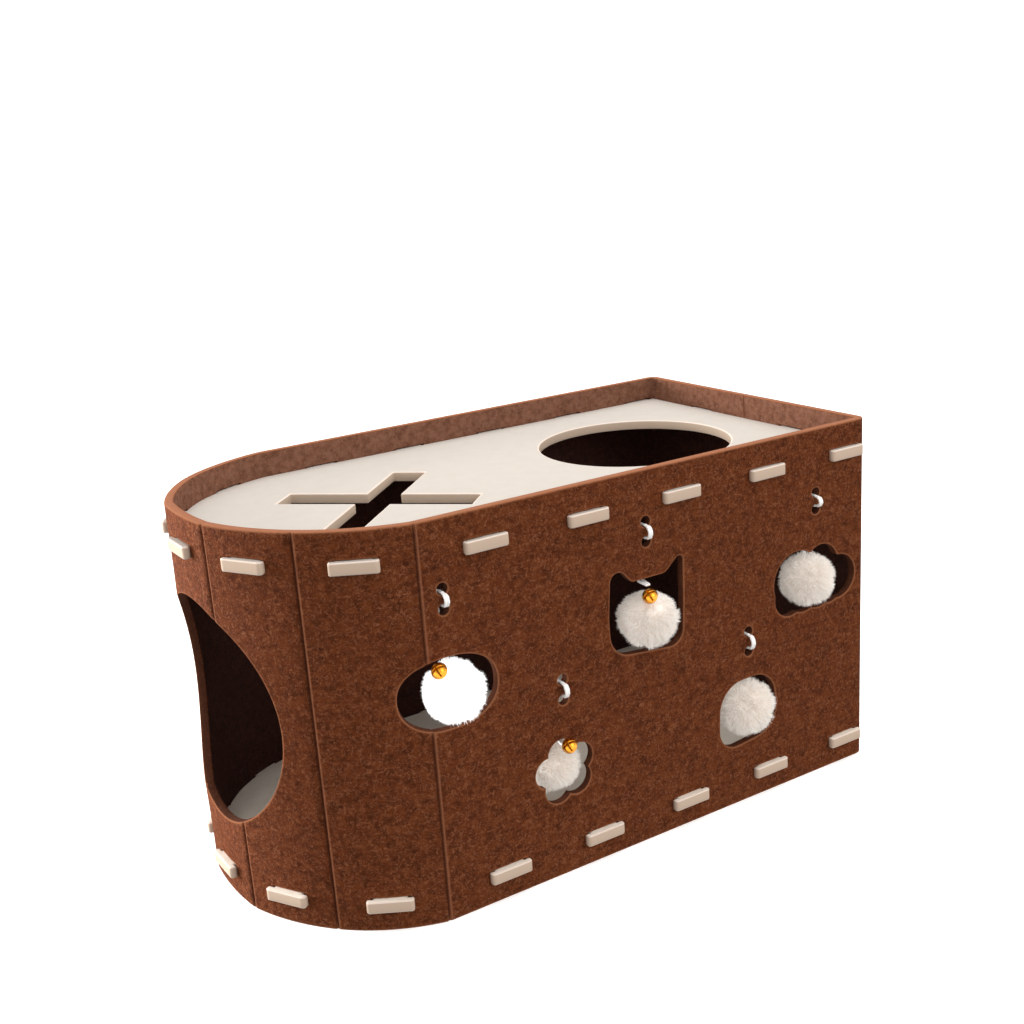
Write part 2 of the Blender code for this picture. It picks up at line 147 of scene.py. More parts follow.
# Cords: each toy hangs from a doubled cotton cord, threaded through two punched holes
cord = {
    "width": 0.004,          # both strands side by side
    "strand": 0.00095,       # radius of one strand
    "apart": 0.00100,        # strand to the middle line
    "step": 0.0026,
    "curveParts": 24,        # fine points between two points of a route
    "dropY": -0.1302,        # the fall down the inside
    "bowY": -0.1466,         # the slack bow outside, between the two holes
    "pull": 0.0016,          # the cord lies this far off the middle of its holes
    "leanOut": 0.0036,
    "leanDown": 0.0020,
    "turnIn": 0.0026,
    "turnDrop": 0.0012,
    "endDrop": 0.0060,       # the knotted end hangs behind the upper hole
    "fallDrop": 0.0070,
    "drawn": 0.0013,         # the thin strands bear on the rims of the holes
    "upperReach": (0.0040, 0.0030),   # how far outside the felt that starts, and how soon it is full
    "lowerReach": (0.0050, 0.0040),
    "closer": 0.35, "full": 1.08, "squeezed": 0.28,   # the strands in the holes
    "catOpens": (-0.0024, 0.0002),    # the cat's two strands open as they fall to the bell
    "lay": 0.0032,           # length of one turn of the twisted yarn
    "ringStep": 0.0006,
    "knot": 0.001595,
    "knotDrop": 0.0012,
    "tuckIn": 0.0035,        # how far the end goes into the pile
}
dropY = cord["dropY"]
# thread: from the mark at the flat end to the two holes; upper and lower: their heights;
# tail: the rest of the cord, as distance from the mark, y and z; pompom: the same and its radius
toys = {
    "oval": {
        "thread": 0.3950, "upper": 0.2504, "lower": 0.2356,
        "tail": ((0.3945, dropY, 0.2200), (0.3930, dropY, 0.2080), (0.3915, -0.1303, 0.1966)),
        "pompom": (0.3905, -0.1370, 0.1735, 0.0233), "bell": (0.4062, -0.1476, 0.1962),
    },
    "cat": {
        "thread": 0.2235, "upper": 0.2604, "lower": 0.2449,
        "tail": ((0.2235, dropY, 0.2260), (0.2238, -0.1303, 0.2185), (0.2245, -0.1336, 0.2136),
                 (0.2268, -0.1452, 0.2129)),
        "pompom": (0.2205, -0.1345, 0.1835, 0.0240), "bell": (0.2275, -0.1480, 0.2052),
    },
    "cloud": {
        "thread": 0.0527, "upper": 0.2476, "lower": 0.2337,
        "tail": ((0.0535, dropY, 0.2190), (0.0550, dropY, 0.2075), (0.0560, -0.1300, 0.1972)),
        "pompom": (0.0565, -0.1345, 0.1740, 0.0230), "bell": None,
    },
    "egg": {
        "thread": 0.1260, "upper": 0.1474, "lower": 0.1306,
        "tail": ((0.1258, dropY, 0.1210), (0.1253, dropY, 0.1130), (0.1248, -0.1300, 0.1048)),
        "pompom": (0.1245, -0.1345, 0.0805, 0.0240), "bell": None,
    },
    "flower": {
        "thread": 0.3040, "upper": 0.1577, "lower": 0.1418,
        "tail": ((0.3040, dropY, 0.1210), (0.3043, -0.1307, 0.1120), (0.3048, -0.1340, 0.1056),
                 (0.3055, -0.1414, 0.1060)),
        "pompom": (0.3060, -0.1190, 0.0845, 0.0240), "bell": (0.3058, -0.1476, 0.1080),
    },
}


def hangPlace(spot):
    return Vector((cave["markX"] - spot[0], spot[1], spot[2]))


def lengthOf(route):
    return sum((route[i + 1] - route[i]).length for i in range(len(route) - 1))


def smoothRoute(points, step):
    points = [Vector(point) for point in points]
    ends = [points[0] * 2 - points[1]] + points + [points[-1] * 2 - points[-2]]
    fine = []
    for i in range(1, len(ends) - 2):
        a, b, c, d = ends[i - 1:i + 3]
        for part in range(cord["curveParts"]):
            t = part / cord["curveParts"]
            fine.append(0.5 * (2 * b + (c - a) * t + (2 * a - 5 * b + 4 * c - d) * t ** 2
                               + (3 * b - a - 3 * c + d) * t ** 3))
    fine.append(points[-1])
    length = lengthOf(fine)
    count = max(2, round(length / step))
    even = [fine[0]]
    walked = 0.0
    for i in range(len(fine) - 1):
        walked += (fine[i + 1] - fine[i]).length
        if walked >= length * len(even) / count and len(even) < count:
            even.append(fine[i + 1])
    even.append(fine[-1])
    return even


def cordRoute(toy):
    upper, lower = toy["upper"] - cord["pull"], toy["lower"] + cord["pull"]
    face, felt = -cave["halfWidth"], cave["felt"]
    through = (face + felt, face + felt / 2, face)      # y, as it passes the felt
    bent, lean = face + felt + cord["turnIn"], face - cord["leanOut"]
    run = [(dropY, upper - cord["endDrop"]), (bent, upper - cord["turnDrop"])]
    run += [(y, upper) for y in through]
    run += [(lean, upper - cord["leanDown"]), (cord["bowY"], (upper + lower) / 2),
            (lean, lower + cord["leanDown"])]
    run += [(y, lower) for y in reversed(through)]
    run += [(bent, lower - cord["turnDrop"]), (dropY, lower - cord["fallDrop"])]
    return [hangPlace((toy["thread"], y, z)) for y, z in run] + [hangPlace(spot) for spot in toy["tail"]]


def makeCottonCord():
    # Mercerised cotton, three yarns twisted: off-white, dull, with a slanting rope lay
    material, tree, shader = startMaterial("twistedCottonCord", {
        "Roughness": 0.82, "Sheen Weight": 0.25, "Sheen Roughness": 0.5, "Specular IOR Level": 0.3,
    })
    place = addNode(tree, "TexCoord").outputs["Object"]
    # hairs of the yarn, 0.3 mm apart
    hairs = addNode(tree, "TexNoise", {"Scale": 3300.0, "Detail": 2.0}, {"Vector": place})
    shade = addNode(tree, "Mix", {
        "data_type": "RGBA", 6: linear("#f3ece4"), 7: linear("#ffffff"),
    }, {0: hairs.outputs["Fac"]})
    tree.links.new(shade.outputs[2], shader.inputs["Base Color"])
    bump = addNode(tree, "Bump", {"Strength": 0.4, "Distance": 0.0002}, {"Height": hairs.outputs["Fac"]})
    tree.links.new(bump.outputs["Normal"], shader.inputs["Normal"])
    return material


def addTube(points, faces, line, radius, lobes, sides=12, shares=None):
    # A tube of three twisted yarns: its section has three lobes that turn along the line
    across = Vector((1, 0, 0))
    first = len(points)
    walked = 0.0
    for i, spot in enumerate(line):
        ahead = (line[min(i + 1, len(line) - 1)] - line[max(i - 1, 0)]).normalized()
        across = (across - ahead * across.dot(ahead)).normalized()
        side = ahead.cross(across)
        if i:
            walked += (spot - line[i - 1]).length
        turn = math.tau * walked / cord["lay"]
        for step in range(sides):
            angle = math.tau * step / sides
            size = radius * (shares[i] if shares else 1) * (1 + lobes * math.cos(3 * angle + turn))
            points.append(spot + (across * math.cos(angle) + side * math.sin(angle)) * size)
    rings = len(line)
    for ring in range(rings - 1):
        for step in range(sides):
            a = first + ring * sides + step
            b = first + ring * sides + (step + 1) % sides
            faces.append((a, b, b + sides, a + sides))
    faces.append([first + step for step in reversed(range(sides))])
    faces.append([first + (rings - 1) * sides + step for step in range(sides)])


def addKnot(points, faces, middle, radius):
    # An overhand knot seen as its three crossing turns
    line = []
    for step in range(61):
        angle = math.tau * step / 60
        line.append(middle + Vector((
            (math.sin(angle) + 2 * math.sin(2 * angle)) / 3,
            -math.sin(3 * angle) / 2.2,
            (math.cos(angle) - 2 * math.cos(2 * angle)) / 3,
        )) * radius)
    addTube(points, faces, line, cord["strand"], 0.1)


def inHoles(spot, toy):
    # How far a spot of the cord is drawn in where it passes the felt: 1 in the holes, 0 elsewhere
    (reach, ease), (drop, dropEase) = cord["upperReach"], cord["lowerReach"]
    inside = min(1.0, max(0.0, (spot.y + cave["halfWidth"] + reach) / ease))
    if spot.z > (toy["upper"] + toy["lower"]) / 2:
        return -inside
    return inside * min(1.0, max(0.0, (spot.z - toy["lower"] + drop) / dropEase))


def makeCords(material):
    made = {}
    for name, toy in toys.items():
        route = smoothRoute(cordRoute(toy), cord["step"])
        fine = smoothRoute(cordRoute(toy), cord["ringStep"])
        if len(toy["tail"]) == 3:      # it hangs straight into its pompom
            tuck = (hangPlace(toy["pompom"]) - fine[-1]).normalized()
            fine += [fine[-1] + tuck * cord["tuckIn"] * part / 4 for part in range(1, 5)]
        points, faces = [], []
        for way in (-1, 1):
            line, shares = [], []
            for i, spot in enumerate(fine):
                down = i / (len(fine) - 1)
                drawn = inHoles(spot, toy)
                aside = way * cord["apart"] * (1 - cord["closer"] * abs(drawn))
                if name == "cat":
                    fall = math.sin(math.pi * max(0, 2 * down - 1))
                    aside += fall * cord["catOpens"][0 if way < 0 else 1]
                line.append(spot + Vector((aside, 0, drawn * cord["drawn"])))
                shares.append(cord["full"] - cord["squeezed"] * abs(drawn))
            addTube(points, faces, line, cord["strand"], 0.1, shares=shares)
        addKnot(points, faces, fine[0] - Vector((0, 0, cord["knotDrop"])), cord["knot"])
        piece = addMesh("cottonCord_" + name, points, faces, material)
        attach(piece, "root")
        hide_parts("cord_" + name)
        made[name] = (piece, route)
    return made


cords = makeCords(makeCottonCord())
print("cords threaded")


# Felt sheets: a flat cut is filled with triangles, given its thickness with softened edges,
# and each point is then laid where the bent felt has it
sheetWork = {
    "rounding": 0.0009,      # how far the blade and handling round the cut edges
    "roundSteps": 3,
    "support": 0.0008,       # a line of points just inside each edge keeps the face flat
    "loopStep": 0.0018,
    "merge": 0.0000001,
    # the points that fill the face, as shares of their spacing
    "row": 0.87, "jitter": 0.2, "clear": 0.55,
    # how far the cut mark runs onto the rounded edge, and the share of painted highlight along the face's
    # rounded edge
    "bevelCut": 0.7, "bevelHighlight": 0.6,
}


def anticlockwise(loop):
    area = sum(loop[i - 1][0] * loop[i][1] - loop[i][0] * loop[i - 1][1] for i in range(len(loop)))
    return loop if area > 0 else loop[::-1]


def divide(loop, step):
    points = []
    for i, here in enumerate(loop):
        after = loop[(i + 1) % len(loop)]
        parts = max(1, math.ceil(math.dist(here, after) / step))
        for part in range(parts):
            share = part / parts
            points.append((here[0] + (after[0] - here[0]) * share, here[1] + (after[1] - here[1]) * share))
    return points


def move(loop, amount):
    # Moves a loop to its left by an amount, corners mitred
    moved = []
    for i, here in enumerate(loop):
        before = Vector(here) - Vector(loop[i - 1])
        after = Vector(loop[(i + 1) % len(loop)]) - Vector(here)
        before, after = before.normalized(), after.normalized()
        left = Vector((-before.y, before.x)) + Vector((-after.y, after.x))
        size = max(0.5, 1 + before.dot(after))
        moved.append((here[0] + left.x / size * amount, here[1] + left.y / size * amount))
    return moved


def edgeLoops(triangles):
    follow = {(triangle[i - 1], triangle[i]): True for triangle in triangles for i in range(3)}
    after = {a: b for a, b in follow if (b, a) not in follow}
    loops = []
    while after:
        start, here = after.popitem()
        loop = [start]
        while here != start:
            loop.append(here)
            here = after.pop(here)
        loops.append(loop)
    return loops


def fillFlat(outline, holes, lines, spacing, dense):
    # A flat cut filled with triangles: its points, and the triangles as their numbers
    loops = [divide(anticlockwise(outline), sheetWork["loopStep"])]
    loops += [divide(anticlockwise(hole), sheetWork["loopStep"])[::-1] for hole in holes]
    loops = [move(loop, sheetWork["rounding"]) for loop in loops]
    near = KDTree(sum(len(line) for line in (*loops, *lines, dense)))
    for line in (*loops, *lines, dense):
        for point in line:
            near.insert((*point, 0), 0)
    near.balance()
    points, faces, edges = [], [], []
    for loop in loops:
        faces.append(list(range(len(points), len(points) + len(loop))))
        points += loop
    for line in lines:
        edges += [(len(points) + i, len(points) + i + 1) for i in range(len(line) - 1)]
        points += line
    for loop in loops:
        points += move(loop, sheetWork["support"])
    points += dense
    shuffle = random.Random(7)
    shift = sheetWork["jitter"] * spacing
    lowX, highX = min(p[0] for p in outline), max(p[0] for p in outline)
    lowY, highY = min(p[1] for p in outline), max(p[1] for p in outline)
    for row in range(int((highY - lowY) / (spacing * sheetWork["row"])) + 1):
        across = lowX + (row % 2) * spacing / 2
        while across < highX:
            spot = (across + shuffle.uniform(-shift, shift),
                    lowY + row * spacing * sheetWork["row"] + shuffle.uniform(-shift, shift))
            across += spacing
            if near.find((*spot, 0))[2] > spacing * sheetWork["clear"]:
                points.append(spot)
    # the loops of holes run clockwise here, and the fill needs them the other way
    faces = [faces[0]] + [face[::-1] for face in faces[1:]]
    found = delaunay_2d_cdt([Vector(point) for point in points], edges, faces, 0, sheetWork["merge"])
    corners, filled, owners = found[0], found[2], found[5]
    kept = [triangle for triangle, owner in zip(filled, owners) if owner == [0]]
    used = sorted({index for triangle in kept for index in triangle})
    number = {index: i for i, index in enumerate(used)}
    return ([tuple(corners[index]) for index in used],
            [tuple(number[index] for index in triangle) for triangle in kept])


def feltSheet(name, outline, holes, lines, spacing, thick, place, material, dense=(), pressed=None):
    flat, kept = fillFlat(outline, holes, lines, spacing, dense)
    count = len(flat)
    mesh = [place(a, b, 0.0) for a, b in flat] + [place(a, b, thick) for a, b in flat]
    marks = {mark: [0.0] * len(mesh) for mark in (
        "cutEdge", "holeEdge", "bevelEdge", "paintedGrooveShade", "paintedGrooveHighlight", "paintedSheenAboveRoof", "paintedShadeInCabin")}
    if pressed:
        # only the wall has pressed lines, with painted shade in them and a painted highlight beside them, and
        # an inner face painted paler above the roof panel as painted sheen and darker inside the cabin as
        # painted shade
        for i, (a, b) in enumerate(flat):
            marks["paintedGrooveShade"][i], marks["paintedGrooveHighlight"][i] = pressed(a)
            marks["paintedSheenAboveRoof" if b > cave["roofLevel"] else "paintedShadeInCabin"][count + i] = 1.0
    solid = kept + [tuple(count + index for index in reversed(triangle)) for triangle in kept]
    rounding, steps = sheetWork["rounding"], sheetWork["roundSteps"]
    turns = [(math.pi / 2 * step / steps, step / steps) for step in range(1, steps + 1)]
    lower = [(rounding * math.sin(angle), rounding * (1 - math.cos(angle)), share) for angle, share in turns]
    rows = lower + [(out, thick - level, share) for out, level, share in reversed(lower)]
    farLeft = min(point[0] for point in flat)
    for loop in edgeLoops(kept):
        drawn = [flat[index] for index in loop]
        cutMark = "cutEdge" if min(point[0] for point in drawn) <= farLeft else "holeEdge"
        rings = [loop]
        for out, level, share in rows:
            rings.append(list(range(len(mesh), len(mesh) + len(loop))))
            for a, b in move(drawn, -out):
                mesh.append(place(a, b, level))
                for values in marks.values():
                    values.append(0.0)
                marks[cutMark][-1] = 1.0 if share == 1 else sheetWork["bevelCut"] * share
                # the rounded edge of the outer or upper face gets a painted highlight
                marks["bevelEdge"][-1] = 0.0 if share == 1 or level > thick / 2 else 1.0
        rings.append([count + index for index in loop])
        for before, after in zip(rings, rings[1:]):
            for i in range(len(loop)):
                j = (i + 1) % len(loop)
                solid.append((before[j], before[i], after[i], after[j]))
        for index in loop:
            marks["bevelEdge"][index] = sheetWork["bevelHighlight"]
    made = addMesh(name, mesh, solid, material, marks)
    print(name, len(mesh), "points")
    return made


def fibreLines(tree, socket, width):
    # Where a noise crosses its middle value it draws thin curled lines, like fibres that lie in the felt
    away = addNode(tree, "Math", {"operation": "SUBTRACT", 1: 0.5}, {0: socket})
    size = addNode(tree, "Math", {"operation": "ABSOLUTE"}, {0: away.outputs[0]})
    return addNode(tree, "MapRange", {
        "interpolation_type": "SMOOTHSTEP", 1: 0.0, 2: width, 3: 1.0, 4: 0.0,
    }, {0: size.outputs[0]}).outputs[0]


def makeFelt(name, look):
    # Needle-punched polyester felt: short fibres of mixed shades lie every way in a mat,
    # so the face is matt and speckled, and a cut edge shows fibre ends; the wall's cut rim is painted paler
    # as painted highlight, and its hole edges darker as painted shade
    material, tree, shader = startMaterial(name, {
        "Roughness": 0.95, "Specular IOR Level": look["shine"],
        "Sheen Weight": look["sheen"], "Sheen Roughness": 0.6,
    })
    place = addNode(tree, "TexCoord").outputs["Object"]
    noises = []
    fibre = look["fibreMm"]
    for size, detail, rough, curl in ((look["cloudMm"], 3.0, 0.55, 0.0), (look["speckleMm"], 3.0, 0.7, 0.8),
                                      (fibre, 1.0, 0.5, 1.2), (fibre / 1.7, 1.0, 0.5, 0.9)):
        noises.append(addNode(tree, "TexNoise", {
            "Scale": 1000 / size, "Detail": detail, "Roughness": rough, "Distortion": curl,
        }, {"Vector": place}))
    cloudy, speckle = noises[0].outputs["Fac"], noises[1].outputs["Fac"]
    longParts, shortParts = [addNode(tree, "SeparateColor", links={0: noise.outputs["Color"]})
                             for noise in noises[2:]]
    pale = fibreLines(tree, longParts.outputs[0], look["fibreWidth"])
    paleShort = fibreLines(tree, shortParts.outputs[1], look["fibreWidth"] * 1.2)
    dark = fibreLines(tree, longParts.outputs[2], look["fibreWidth"] * 1.1)
    # carding leaves faint level streaks, about 14 by 2.5 mm
    level = addNode(tree, "Mapping", {"Scale": (1.0, 1.0, 5.5)}, {"Vector": place}).outputs[0]
    streaks = addNode(tree, "TexNoise", {"Scale": 72.0, "Detail": 2.0, "Roughness": 0.6}, {"Vector": level})
    # the colours over the ground, each with what says how much of it shows
    over = [
        (look["dark"], addNode(tree, "MapRange", {1: 0.48, 2: 0.75, 4: look["streak"]},
                               {0: streaks.outputs["Fac"]})),
        (look["light"], addNode(tree, "MapRange", {1: 0.42, 2: 0.75, 4: look["speckle"]}, {0: speckle})),
    ]
    for lines, colour, amount in ((dark, "dark", look["darkFibre"]), (pale, "fibre", look["paleFibre"]),
                                  (paleShort, "fibre", look["paleFibre"] * 0.8)):
        # a fibre comes and goes along its length
        seen = addNode(tree, "MapRange", {1: 0.42, 2: 0.60, 4: amount}, {0: speckle})
        over.append((look[colour], addNode(tree, "Math", {"operation": "MULTIPLY"},
                                           {0: lines, 1: seen.outputs[0]})))
    for mark, (colour, amount) in look["marks"].items():
        edge = addNode(tree, "Attribute", {"attribute_name": mark})
        share = addNode(tree, "Math", {"operation": "MULTIPLY", 1: amount}, {0: edge.outputs["Fac"]})
        if mark == "paintedSheenAboveRoof":      # painted sheen, made patchy by the cloud noise
            patchySheen = addNode(tree, "MapRange", {1: 0.34, 2: 0.66, 3: 0.65, 4: 1.35}, {0: cloudy})
            share = addNode(tree, "Math", {"operation": "MULTIPLY"},
                            {0: share.outputs[0], 1: patchySheen.outputs[0]})
        over.append((colour, share))
    ground = addNode(tree, "MapRange", {1: 0.32, 2: 0.62}, {0: cloudy})
    mixed = addNode(tree, "Mix", {
        "data_type": "RGBA", 6: linear(look["shade"]), 7: linear(look["body"]),
    }, {0: ground.outputs[0]})
    for colour, share in over:
        mixed = addNode(tree, "Mix", {"data_type": "RGBA", 7: linear(colour)},
                        {6: mixed.outputs[2], 0: share.outputs[0]})
    tree.links.new(mixed.outputs[2], shader.inputs["Base Color"])
    high = speckle
    for lines, amount in ((pale, 0.35), (paleShort, 0.3), (dark, -0.3)):
        high = addNode(tree, "Math", {"operation": "MULTIPLY_ADD", 1: amount}, {0: lines, 2: high}).outputs[0]
    bump = addNode(tree, "Bump", {"Strength": look["bump"], "Distance": 0.0010}, {"Height": high})
    tree.links.new(bump.outputs["Normal"], shader.inputs["Normal"])
    return material


# Wall: one strip of felt, cut flat and bent round at pressed lines
wall = {
    # pressed lines: from the flat end, y, swell of the felt up to the next line
    "scores": ((0.4120, -0.1410, 0.0055), (0.4820, -0.1000, 0.0040), (0.5210, -0.0360, 0.0028),
               (0.5235, 0.0385, 0.0045), (0.4860, 0.1030, 0.0055), (0.4120, 0.1410, 0.0)),
    "facetSteps": 12,
    "cornerSteps": 8,
    "groove": ((-0.0029, 0.0), (-0.0017, 0.0), (-0.0009, 0.55), (0.0, 1.0), (0.0009, 0.55), (0.0017, 0.0)),
    "grooveDepth": 0.0011,
    # how far the painted shade and painted highlight of a pressed line reach, and how far the highlight lies
    # from it
    "toneReach": (0.0020, 0.0011), "highlightAt": 0.0017,
    "spacing": 0.0055,
    "door": (0.087, 0.1505),
    "doorSwell": (0.0045, 0.170),   # the far edge stands out this much, this far round
    "slot": (0.029, 0.0087),
    "cordHole": 0.0042,
    "tabs": 5, "firstTab": 0.0215, "tabPitch": 0.0846, "endTab": 0.060,
    "oval": (0.396, 0.1745, 0.077, 0.053, 2.25),
    "cat": ((0.2590, 0.1620, 0.0190), (0.2600, 0.1920, 0.0600), (0.2562, 0.2375, 0.0072),
            (0.2385, 0.2165, 0.0060), (0.2070, 0.2165, 0.0080), (0.1897, 0.2316, 0.0036),
            (0.1905, 0.1900, 0.0900), (0.1925, 0.1550, 0.0120)),
    "egg": ((0.1560, 0.1070, 0.0240), (0.1010, 0.1078, 0.0220), (0.0950, 0.0560, 0.0230),
            (0.1580, 0.0490, 0.0170)),
    "cloudMiddle": (0.054, 0.1740),
    "cloud": ((0.0730, 0.1775, 0.0250), (0.0465, 0.1845, 0.0180), (0.0275, 0.1705, 0.0187),
              (0.0810, 0.1650, 0.0160), (0.0660, 0.1670, 0.0180), (0.0500, 0.1675, 0.0185),
              (0.0380, 0.1690, 0.0190)),
    "flower": (0.306, 0.085, 0.0142, 0.0120, 5, 153.0),
    "felt": {
        "body": "#633219", "shade": "#472110", "light": "#7a4427", "dark": "#30150b", "fibre": "#9a6246",
        # what is marked on the sheet: its colour, and how much of it shows
        "marks": {
            # painted sheen on the inner face above the roof panel, and painted shade on it inside the cabin
            "paintedSheenAboveRoof": ("#8e6b5a", 0.40), "paintedShadeInCabin": ("#2b2223", 0.72),
            # painted shade in the pressed lines, and a painted highlight beside them
            "paintedGrooveShade": ("#30150b", 0.9), "paintedGrooveHighlight": ("#9a6246", 0.65),
            # on the wall the cut rim is painted paler, partly the fibre ends and partly painted highlight
            # where light falls on it; the cut faces in the holes are painted darker as painted shade; the
            # rounded outer edge is painted paler as painted highlight
            "cutEdge": ("#9a664b", 0.8), "holeEdge": ("#482a1e", 0.8), "bevelEdge": ("#9a6344", 0.6),
        },
        "cloudMm": 6.0, "speckleMm": 2.8, "fibreMm": 5.0, "fibreWidth": 0.060, "streak": 0.544,
        "speckle": 0.46, "paleFibre": 0.38, "darkFibre": 0.42, "sheen": 0.0, "shine": 0.05, "bump": 0.50,
    },
}


def arcBetween(start, end, bulge, steps):
    start = Vector(start)
    chord = Vector(end) - start
    outward = Vector((-chord.y, chord.x)).normalized()
    radius = chord.length_squared / (8 * bulge) + bulge / 2
    points = []
    for step in range(1, steps):
        aside = chord.length * (step / steps - 0.5)
        swell = math.sqrt(radius ** 2 - aside ** 2) - (radius - bulge)
        points.append(tuple(start + chord * (step / steps) + outward * swell))
    return points


def cornerPoints(side):
    points = []
    for step in range(wall["cornerSteps"] + 1):
        angle = math.radians(90) * step / wall["cornerSteps"]
        radius = cave["cornerRadius"]
        points.append((cave["endX"] - radius + radius * math.cos(angle),
                       side * (cave["halfWidth"] - radius + radius * math.sin(angle))))
    return points


def stripPath():
    pressed = [(cave["markX"] - fromEnd, y) for fromEnd, y, _ in wall["scores"]]
    points, scores = [(cave["endX"], -cave["joinGap"] / 2)] + cornerPoints(-1), set()
    for i, line in enumerate(pressed):
        scores.add(len(points))
        points.append(line)
        if i < len(pressed) - 1:
            points += arcBetween(line, pressed[i + 1], wall["scores"][i][2], wall["facetSteps"])
    points += list(reversed(cornerPoints(1))) + [(cave["endX"], cave["joinGap"] / 2)]
    shaped = []
    for i, point in enumerate(points):
        here = Vector(point)
        if i not in scores:
            shaped.append((here, 0.0))
            continue
        back = (Vector(points[i - 1]) - here).normalized()
        ahead = (Vector(points[i + 1]) - here).normalized()
        for shift, share in wall["groove"]:
            way = back * -shift if shift < 0 else ahead * shift
            shaped.append((here + way, share * wall["grooveDepth"]))
    stations, distance = [], 0.0
    for i, (here, groove) in enumerate(shaped):
        runs = []
        if i:
            distance += (here - shaped[i - 1][0]).length
            runs.append((here - shaped[i - 1][0]).normalized())
        if i < len(shaped) - 1:
            runs.append((shaped[i + 1][0] - here).normalized())
        normals = [Vector((-run.y, run.x)) for run in runs]
        outward = normals[0]
        if len(normals) == 2:
            outward = (normals[0] + normals[1]) / (1 + normals[0].dot(normals[1]))
        stations.append((distance, here, outward, groove))
    return stations


stations = stripPath()
stripLength = stations[-1][0]
sideStart = next(row[0] for row in stations if row[1].y <= -cave["halfWidth"] + 1e-6)
pressedAt = [row[0] for row in stations if row[3] > wall["grooveDepth"] * 0.99]
facets = [(pressedAt[i] + pressedAt[i + 1]) / 2 for i in range(len(pressedAt) - 1)]
frontMiddle = facets[2]


def locate(s):
    number = min(max(bisect(stations, s, key=lambda row: row[0]), 1), len(stations) - 1)
    before, after = stations[number - 1], stations[number]
    share = (s - before[0]) / (after[0] - before[0])
    return (before[1].lerp(after[1], share), before[2].lerp(after[2], share),
            before[3] + (after[3] - before[3]) * share)


def doorSwell(s, z):
    swell, reach = wall["doorSwell"]
    low, high = cave["floorLevel"] + cave["panel"], cave["roofLevel"]
    along, up = (s - frontMiddle) / reach, (z - low) / (high - low)
    if not (0 < along < 1 and 0 < up < 1):
        return 0.0
    return swell * (math.sin(math.pi * along) * math.sin(math.pi * up)) ** 2


def onStrip(s, z, level):
    outer, outward, groove = locate(s)
    plan = outer + outward * (doorSwell(s, z) - groove - (cave["felt"] - groove) * level / cave["felt"])
    return (plan.x, plan.y, z)


def nearSide(fromEnd):
    return sideStart + cave["endX"] - cave["markX"] + fromEnd - cave["cornerRadius"]


def tabPlaces():
    near = [wall["endTab"]]
    near += [nearSide(wall["firstTab"] + wall["tabPitch"] * i) for i in range(wall["tabs"])]
    return near + facets + [stripLength - place for place in reversed(near)]


def ring(middle, radius, steps=64):
    turns = [math.tau * i / steps for i in range(steps)]
    return [(middle[0] + radius * math.cos(turn), middle[1] + radius * math.sin(turn)) for turn in turns]


def ovalOutline(steps=72):
    across, up, width, height, fullness = wall["oval"]
    points = []
    for i in range(steps):
        angle = math.tau * (i + 0.5) / steps
        right = math.copysign(abs(math.cos(angle)) ** (2 / fullness), math.cos(angle))
        top = math.copysign(abs(math.sin(angle)) ** (2 / fullness), math.sin(angle))
        points.append((across + right * width / 2, up + top * height / 2))
    return points


def roundedOutline(corners, steps=9):
    points, count = [], len(corners)
    for i in range(count):
        before, here, after = (Vector(corners[j % count][:2]) for j in (i - 1, i, i + 1))
        radius = corners[i][2]
        toBefore, toAfter = (before - here).normalized(), (after - here).normalized()
        half = toBefore.angle(toAfter) / 2
        middle = here + (toBefore + toAfter).normalized() * (radius / math.sin(half))
        start = here + toBefore * (radius / math.tan(half)) - middle
        turn = math.pi - 2 * half
        toCorner = here - middle
        if start.x * toCorner.y - start.y * toCorner.x < 0:
            turn = -turn
        for step in range(steps + 1):
            angle = turn * step / steps
            points.append((middle.x + start.x * math.cos(angle) - start.y * math.sin(angle),
                           middle.y + start.x * math.sin(angle) + start.y * math.cos(angle)))
    return points


def lobedOutline(middle, discs, steps=120):
    points = []
    for i in range(steps):
        ray = Vector((math.cos(math.tau * i / steps), math.sin(math.tau * i / steps)))
        farthest = 0.0
        for across, up, radius in discs:
            toDisc = Vector((across - middle[0], up - middle[1]))
            along = toDisc.dot(ray)
            inside = radius ** 2 - toDisc.length_squared + along ** 2
            if inside > 0:
                farthest = max(farthest, along + math.sqrt(inside))
        points.append((middle[0] + ray.x * farthest, middle[1] + ray.y * farthest))
    return points


def flowerOutline():
    across, up, lobeAt, radius, lobes, turn = wall["flower"]
    discs = []
    for i in range(lobes):
        angle = math.radians(turn) + math.tau * i / lobes
        discs.append((across + lobeAt * math.cos(angle), up + lobeAt * math.sin(angle), radius))
    return lobedOutline((across, up), discs)


def wallHoles():
    holes = [ring((frontMiddle, wall["door"][1]), wall["door"][0], 160)]
    drawn = [ovalOutline(), roundedOutline(wall["cat"]), lobedOutline(wall["cloudMiddle"], wall["cloud"]),
             roundedOutline(wall["egg"]), flowerOutline()]
    holes += [[(nearSide(fromEnd), z) for fromEnd, z in outline] for outline in drawn]
    for toy in toys.values():
        for level in (toy["upper"], toy["lower"]):
            holes.append(ring((nearSide(toy["thread"]), level), wall["cordHole"], 20))
    width, height = wall["slot"]
    for level in (cave["floorLevel"], cave["roofLevel"]):
        low = level + cave["panel"] / 2 - height / 2
        for place in tabPlaces():
            left, right = place - width / 2, place + width / 2
            holes.append([(left, low), (right, low), (right, low + height), (left, low + height)])
    return holes


